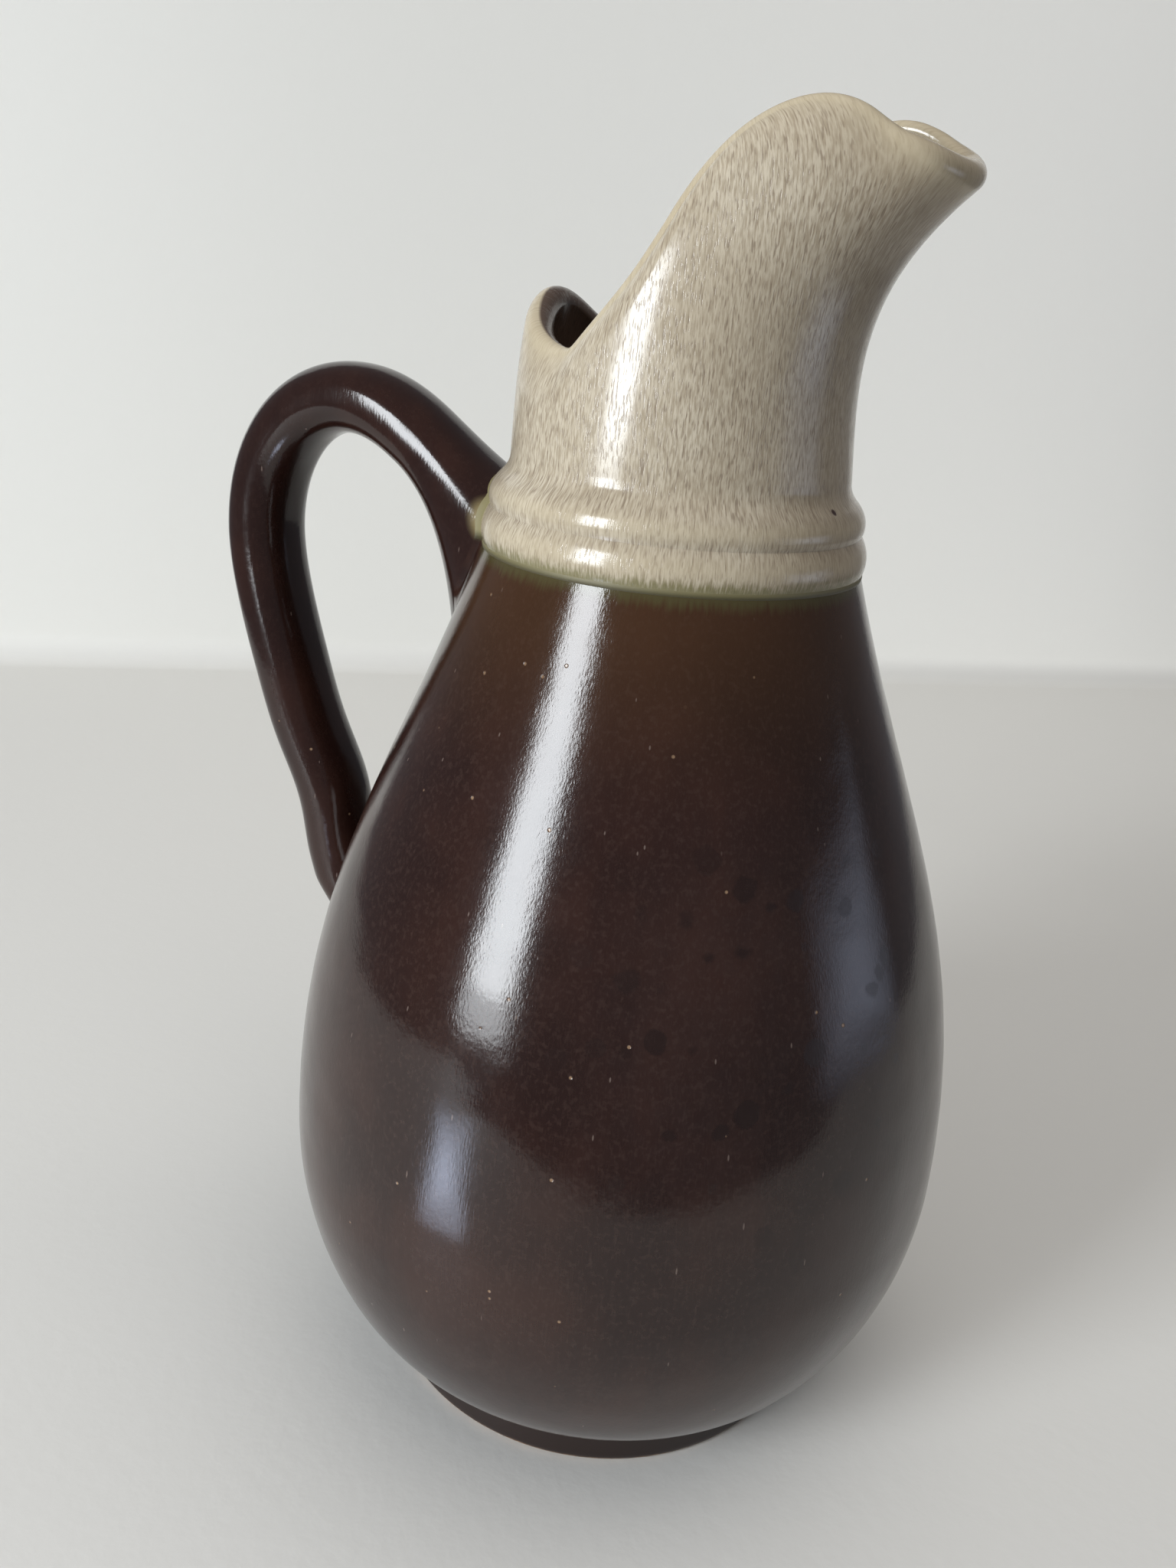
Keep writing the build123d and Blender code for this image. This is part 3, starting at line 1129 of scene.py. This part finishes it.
@dataclass
class Handle:
    """The strap handle and the two collars of slip round its roots."""

    pot: Pot
    neck: Neck
    width: float = 14.5
    thickness: float = 11.5
    squareness: float = 2.25
    upper_root: tuple = (-24.9, 140.0)
    upper_pull: tuple = (-16.0, 12.4)
    crest: tuple = (-59.0, 161.0)
    crest_ease: float = 10.5
    crest_bend: float = 10.5
    reach: tuple = (-78.4, 137.0)
    reach_bend: float = 14.0
    reach_ease: float = 17.0
    lower_root: tuple = (-53.0, 60.0)
    lower_pull: tuple = (-8.0, 26.0)
    upper_flare: Flare = Flare(26.0, 16.0, 10.0, 3.5)
    lower_flare: Flare = Flare(20.0, 8.0, 6.0, 0.0)
    sway_depth: float = 1.1
    sway_middle: float = 26.0
    sway_length: float = 36.0
    tail: float = 17.0
    tail_sunk: float = 0.4
    sunk: float = 2.0
    fillet: float = 1.8
    fillet_start: float = 0.05
    slip_inset: float = 0.6
    slip_sunk: float = 0.5
    end_shares: tuple = (0.04, 0.25, 0.5, 0.75)
    curve_steps: int = 400
    fillet_rows: int = 12
    rows: int = 320
    columns: int = 96

    def wall_radius(self, height: np.ndarray) -> np.ndarray:
        """Radius of the pot, the collar or the neck at a height, read off their sides."""
        side = np.vstack([self.pot.side(), self.neck.collar_side()])
        return np.interp(height, side[:, 1], side[:, 0])

    def loop(self) -> tuple[np.ndarray, np.ndarray, np.ndarray]:
        """The strap's middle line: three Bezier curves, read at even steps of length.

        Returns:
            Points, headings and the length so far, one a row.
        """
        upper, crest = np.array(self.upper_root), np.array(self.crest)
        reach, lower = np.array(self.reach), np.array(self.lower_root)
        share = np.linspace(0, 1, self.curve_steps)
        first = bezier([upper, upper + self.upper_pull, crest + (self.crest_ease, 0), crest], share)
        second = bezier([crest, crest - (self.crest_bend, 0), reach + (0, self.reach_bend), reach], share)
        third = bezier([reach, reach - (0, self.reach_ease), lower + self.lower_pull, lower], share)
        flat = np.vstack([first, second[1:], third[1:]])
        length = np.append(0, np.cumsum(np.linalg.norm(np.diff(flat, axis=0), axis=1)))
        even = np.linspace(0, length[-1], self.rows)
        x, z = np.interp(even, length, flat[:, 0]), np.interp(even, length, flat[:, 1])
        points = np.column_stack([x, 0 * x, z])
        return points, unit(np.gradient(points, axis=0)), even

    def surface(self) -> np.ndarray:
        """The strap: a squarish oval carried along the loop, growing into a flare at each root.

        The oval is cosine and sine to the power of two over the squareness, with their signs. A
        flare grows by the square of what is left of its length. The lower arm sways, where it was
        pressed on: one wave of a sine, which fades on both sides. Points that would reach deeper
        than the sunk depth under the wall lie on that depth instead. Over the tail's length, what
        stands off the wall dies away by a smooth step, so the lower end is smeared onto the belly.

        Returns:
            Rows by columns by three.
        """
        line, heading, length = self.loop()
        inward = np.cross(heading, (0, 1, 0))
        left = length[-1] - length
        upper, lower = self.upper_flare.share(length), self.lower_flare.share(left)
        thick = self.thickness + upper * self.upper_flare.thickness + lower * self.lower_flare.thickness
        wide = self.width + upper * self.upper_flare.width + lower * self.lower_flare.width
        along = (left - self.sway_middle) / self.sway_length
        sway = self.sway_depth * np.sin(2 * np.pi * along) * np.exp(-(2 * along) ** 2)
        shift = upper * self.upper_flare.inward + lower * self.lower_flare.inward + sway
        middle = line + inward * shift[:, None]
        closing = np.array(self.end_shares)
        scale = np.concatenate([closing, np.ones(self.rows), closing[::-1]])
        index = np.clip(np.arange(len(scale)) - len(closing), 0, self.rows - 1)
        turn = round_steps(self.columns)
        power = 2 / self.squareness
        waves = np.stack([np.cos(turn), np.sin(turn)])
        oval_in, oval_wide = np.sign(waves) * np.abs(waves) ** power
        depth = (scale * thick[index] / 2)[:, None] * oval_in
        breadth = (scale * wide[index] / 2)[:, None] * oval_wide
        points = middle[index][:, None] + depth[..., None] * inward[index][:, None]
        points = points + breadth[..., None] * np.array([0.0, 1.0, 0.0])
        wall = self.wall_radius(points[..., 2])
        stand = np.maximum(from_axis(points) - wall, -self.sunk)
        kept = ease(left[index], 0, self.tail)[:, None]
        stand = np.where(stand > 0, kept * stand - self.tail_sunk * (1 - kept), stand)
        return drawn_to(points, wall + stand)

    def strap(self) -> bpy.types.Object:
        """The handle as one closed piece."""
        return skin("jug_handle", self.surface(), Ends.POLES, {})

    def clear_of_wall(self, points: np.ndarray, clearance: float) -> np.ndarray:
        """Where each column of the strap first stands a clearance off the wall, between two rows.

        Args:
            points: The strap's surface, from inside the wall outwards.
            clearance: Distance from the wall.

        Returns:
            One point a column.
        """
        gap = from_axis(points) - self.wall_radius(points[..., 2])
        column = np.arange(points.shape[1])
        after = np.maximum(np.argmax(gap > clearance, axis=0), 1)
        low, high = gap[after - 1, column], gap[after, column]
        share = ((clearance - low) / (high - low))[:, None]
        return (1 - share) * points[after - 1, column] + share * points[after, column]

    def slip(self, name: str, points: np.ndarray) -> bpy.types.Object:
        """A collar of slip round one root: a hollow curve from the strap to the wall.

        Each column finds where the strap leaves the wall, goes up the strap and out along the wall
        by the fillet, and joins the two with a quadratic curve that bends at the wall.

        Args:
            name: Name of the piece.
            points: The strap's surface, from inside the wall outwards.

        Returns:
            The collar of slip.
        """
        root = self.clear_of_wall(points, self.fillet_start)
        rise = self.clear_of_wall(points, self.fillet)
        away = unit(root - root.mean(0))
        out = root + self.fillet * away
        out = drawn_to(out, self.wall_radius(out[:, 2]))
        share = np.linspace(0, 1, self.fillet_rows)[:, None, None]
        curve = (1 - share) ** 2 * rise + 2 * share * (1 - share) * root + share**2 * out
        deep = root - self.slip_inset * away
        deep = drawn_to(deep, from_axis(deep) - self.slip_sunk)
        return skin(name, np.vstack([curve, deep[None]]), Ends.LOOP, {})


@dataclass(frozen=True)
class Lamp:
    """A soft rectangular lamp that faces the jug's middle.

    Attributes:
        name: Name of the lamp.
        azimuth: Angle from the camera's side, in degrees, growing to the right.
        distance: Distance from the axis along the table.
        height: Height of its middle above the table.
        size: Width and height.
        power: Power in watts.
        colour: Colour of its light.
    """

    name: str
    azimuth: float
    distance: float
    height: float
    size: tuple
    power: float
    colour: Colour


@dataclass
class Portrait:
    """The camera, the light, and the table and wall round the jug."""

    image_height: float = 2048.0
    focal_pixels: float = 1650.0
    sensor: float = 36.0
    clip_start: float = 0.01
    distance: float = 194.25
    height: float = 179.36
    turn: float = 22.0
    yaw: float = 2.869
    pitch: float = 20.932
    roll: float = 4.872
    aim_height: float = 100.0
    glow_shares: tuple = (1.0, 0.82, 0.64, 0.46, 0.28)
    room_tone: Colour = tone(150, 152, 158)
    room_light: float = 0.5
    back_wall: float = 446.0
    wall_turn: float = 15.9
    cove: float = 14.0
    cove_rows: int = 13
    table_front: float = 205.0
    table_reach: float = 400.0
    wall_height: float = 460.0
    floor_tone: Colour = tone(218, 217, 213)
    wall_tone: Colour = tone(226, 225, 220)
    # painted light: the wall's tone at its right, where it is painted lighter
    lit_wall_tone: Colour = tone(252, 251, 246)
    lit_wall_span: tuple = (-200.0, 250.0)
    paper_roughness: float = 0.62
    paper_scale: float = 0.35
    paper_depth: float = 0.06

    def to_frame(self, vectors: np.ndarray) -> np.ndarray:
        """Turns vectors from the camera's side of the room into the jug's frame, about the axis."""
        return np.asarray(vectors, float) @ rotation("Z", self.turn).T

    def stand(self, thing: bpy.types.Object, axes: list[np.ndarray], place: np.ndarray) -> None:
        """Puts a camera or a lamp into the scene.

        Args:
            thing: The camera or lamp, which looks along its own -Z.
            axes: Directions of its X, Y and Z in the jug's frame.
            place: Its place in the jug's frame.
        """
        matrix = np.eye(4)
        matrix[:3, :3] = np.column_stack(axes)
        matrix[:3, 3] = place * MM
        thing.matrix_world = Matrix(matrix.tolist())
        bpy.context.scene.collection.objects.link(thing)

    def camera(self) -> bpy.types.Object:
        """Places the camera: it faces the axis, then yaws, pitches down and rolls.

        Returns:
            The camera.
        """
        level = rotation("X", 90) @ rotation("Z", -self.yaw)
        right, down, forward = self.to_frame(rotation("Z", self.roll) @ rotation("X", self.pitch) @ level)
        data = bpy.data.cameras.new("portrait_camera")
        data.sensor_width = self.sensor
        data.lens = self.focal_pixels / self.image_height * self.sensor
        data.clip_start = self.clip_start
        camera = bpy.data.objects.new("portrait_camera", data)
        place = self.to_frame([0, -self.distance, self.height])
        self.stand(camera, [right, -down, -forward], place)
        bpy.context.scene.camera = camera
        return camera

    def hang(self, lamp: Lamp) -> bpy.types.Object:
        """Hangs a lamp where the camera doesn't see it.

        Args:
            lamp: The lamp.

        Returns:
            The lamp's object.
        """
        data = bpy.data.lights.new(lamp.name, "AREA")
        data.shape = "RECTANGLE"
        data.size, data.size_y = lamp.size[0] * MM, lamp.size[1] * MM
        data.energy = lamp.power
        data.color = lamp.colour[:3]
        hung = bpy.data.objects.new(lamp.name, data)
        angle = math.radians(lamp.azimuth)
        along, across = -lamp.distance * math.cos(angle), lamp.distance * math.sin(angle)
        place = self.to_frame([across, along, lamp.height])
        back = unit(place - (0, 0, self.aim_height))
        side = unit(np.cross((0, 0, 1), back))
        self.stand(hung, [side, np.cross(back, side), back], place)
        hung.visible_camera = False
        return hung

    def glow(self, lamp: Lamp) -> None:
        """Hangs lamps inside each other, which fade towards the edge and show only in the glaze.

        Args:
            lamp: The largest; each of the others is a share of it, a millimetre nearer the jug.
        """
        for number, share in enumerate(self.glow_shares):
            size = (share * lamp.size[0], share * lamp.size[1])
            part = replace(lamp, name=f"{lamp.name}_{number}", distance=lamp.distance - number,
                           size=size, power=share**2 * lamp.power)
            self.hang(part).visible_diffuse = False

    def light(self) -> None:
        """Lights the jug: a tall window on the left, a cool one on the right, and a soft ceiling."""
        white, cool, warm = tone(244, 249, 253), tone(214, 226, 252), tone(255, 250, 244)
        self.hang(Lamp("window", -46, 900, 355, (270, 510), 9.4, white))
        self.hang(Lamp("window_sill", -46, 900, 60, (270, 90), 0.8, white))
        self.glow(Lamp("window_on_table", -42, 140, 22, (32, 50), 0.00955, cool))
        self.glow(Lamp("side_window", 84, 700, 70, (460, 300), 0.15607, cool))
        self.hang(Lamp("ceiling", 70, 250, 1400, (1500, 1500), 10.2, warm)).visible_glossy = False
        world = bpy.data.worlds.new("room")
        world.use_nodes = True
        background = world.node_tree.nodes["Background"]
        background.inputs["Color"].default_value = self.room_tone
        background.inputs["Strength"].default_value = self.room_light
        bpy.context.scene.world = world

    def stage(self) -> bpy.types.Object:
        """Lays a pale table top, which turns up into a wall behind the jug in a quarter circle.

        Each row of the sheet is an outline's point, carried across the room and slanted back.

        Returns:
            The floor and wall as one sheet.
        """
        bend = np.linspace(0, np.pi / 2, self.cove_rows)
        turn_up = self.back_wall - self.cove * (1 - np.sin(bend))
        cove = np.column_stack([turn_up, self.cove * (1 - np.cos(bend))])
        outline = np.vstack([(-self.table_front, 0), cove, (self.back_wall, self.wall_height)])
        across = np.array([-self.table_reach, self.table_reach])
        depth, height = outline[:, :1], outline[:, 1:]
        slant = math.tan(math.radians(self.wall_turn))
        points = np.stack([across + 0 * depth, depth + slant * across, height + 0 * across], -1)
        places = self.to_frame(points.reshape(-1, 3)) * MM
        index = np.arange(len(places)).reshape(len(outline), 2)
        faces = np.stack([index[:-1, 0], index[:-1, 1], index[1:, 1], index[1:, 0]], -1)
        mesh = bpy.data.meshes.new("studio_sweep")
        mesh.from_pydata(places.tolist(), [], faces.tolist())
        mesh.polygons.foreach_set("use_smooth", np.ones(len(faces), bool))
        sheet = bpy.data.objects.new("studio_sweep", mesh)
        bpy.context.scene.collection.objects.link(sheet)
        sheet.data.materials.append(self.paper())
        return sheet

    def paper(self) -> bpy.types.Material:
        """The pale table and wall: faintly grained, with painted light that makes the wall a little lighter
        to the right.

        Returns:
            The finished material.
        """
        graph = Graph("studio_paper")
        place = graph.place()
        facing = graph.stretched(place, (1, 1, 1), (0, 0, -math.radians(self.turn)))
        # painted light: the wall turns lighter towards the right
        rightward = graph.part(facing, "X").step(*self.lit_wall_span)
        upward = graph.part(place, "Z").step(0.2 * self.cove, self.cove)
        wall = graph.layers(self.wall_tone, (rightward, self.lit_wall_tone))
        colour = graph.layers(self.floor_tone, (upward, wall))
        normal = graph.relief((graph.noise(place, self.paper_scale, 3.0), self.paper_depth))
        return graph.surface({"Base Color": colour, "Roughness": self.paper_roughness, "Normal": normal})


@dataclass
class Jug:
    """The whole jug: its pot, neck and handle, and the finish of each piece."""

    pot: Pot = field(default_factory=Pot)
    pieces: list[bpy.types.Object] = field(default_factory=list)

    def settle(self, piece: bpy.types.Object, node: str, finish: bpy.types.Material) -> None:
        """Dresses a piece, puts it on the jug's body and lets it stand for its solid.

        Args:
            piece: The finished piece.
            node: Solid that it stands for.
            finish: Its material.
        """
        piece.data.materials.append(finish)
        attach(piece, "root")
        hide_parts(node)
        self.pieces.append(piece)
        LOG.info("%s stands for %s: %d faces", piece.name, node, len(piece.data.polygons))

    def build(self) -> None:
        """Builds and dresses every piece.

        The lower root's slip reads the strap's surface from its lower end, turned round.
        """
        neck = Neck(self.pot)
        handle = Handle(self.pot, neck)
        surface = handle.surface()
        middle = len(surface) // 2
        upper, lower = surface[:middle], surface[:middle - 1:-1, ::-1]
        brown, slip = BrownGlaze(), FiredSlip()
        self.settle(self.pot.body(), "body", brown.material(Coat.BODY))
        self.settle(self.pot.foot_ring(), "foot_ring", BareStoneware().material())
        self.settle(self.pot.foot_slip(), "foot_slip", slip.material("foot"))
        self.settle(neck.spout(), "neck_spout", OatmealGlaze().material())
        self.settle(neck.slip(), "neck_slip", slip.material("neck"))
        self.settle(handle.strap(), "handle", brown.material(Coat.STRAP))
        for root, points in (("upper", upper), ("lower", lower)):
            pad = handle.slip(f"jug_{root}_handle_slip", points)
            self.settle(pad, f"{root}_handle_slip", slip.material(f"{root}_root"))


def main() -> None:
    """Builds the jug and its portrait."""
    logging.basicConfig(level=logging.INFO, format="%(name)s: %(message)s")
    bpy.context.scene.view_settings.view_transform = "Standard"
    jug = Jug()
    jug.build()
    portrait = Portrait()
    portrait.camera()
    portrait.light()
    portrait.stage()


if __name__ == "__main__":
    main()
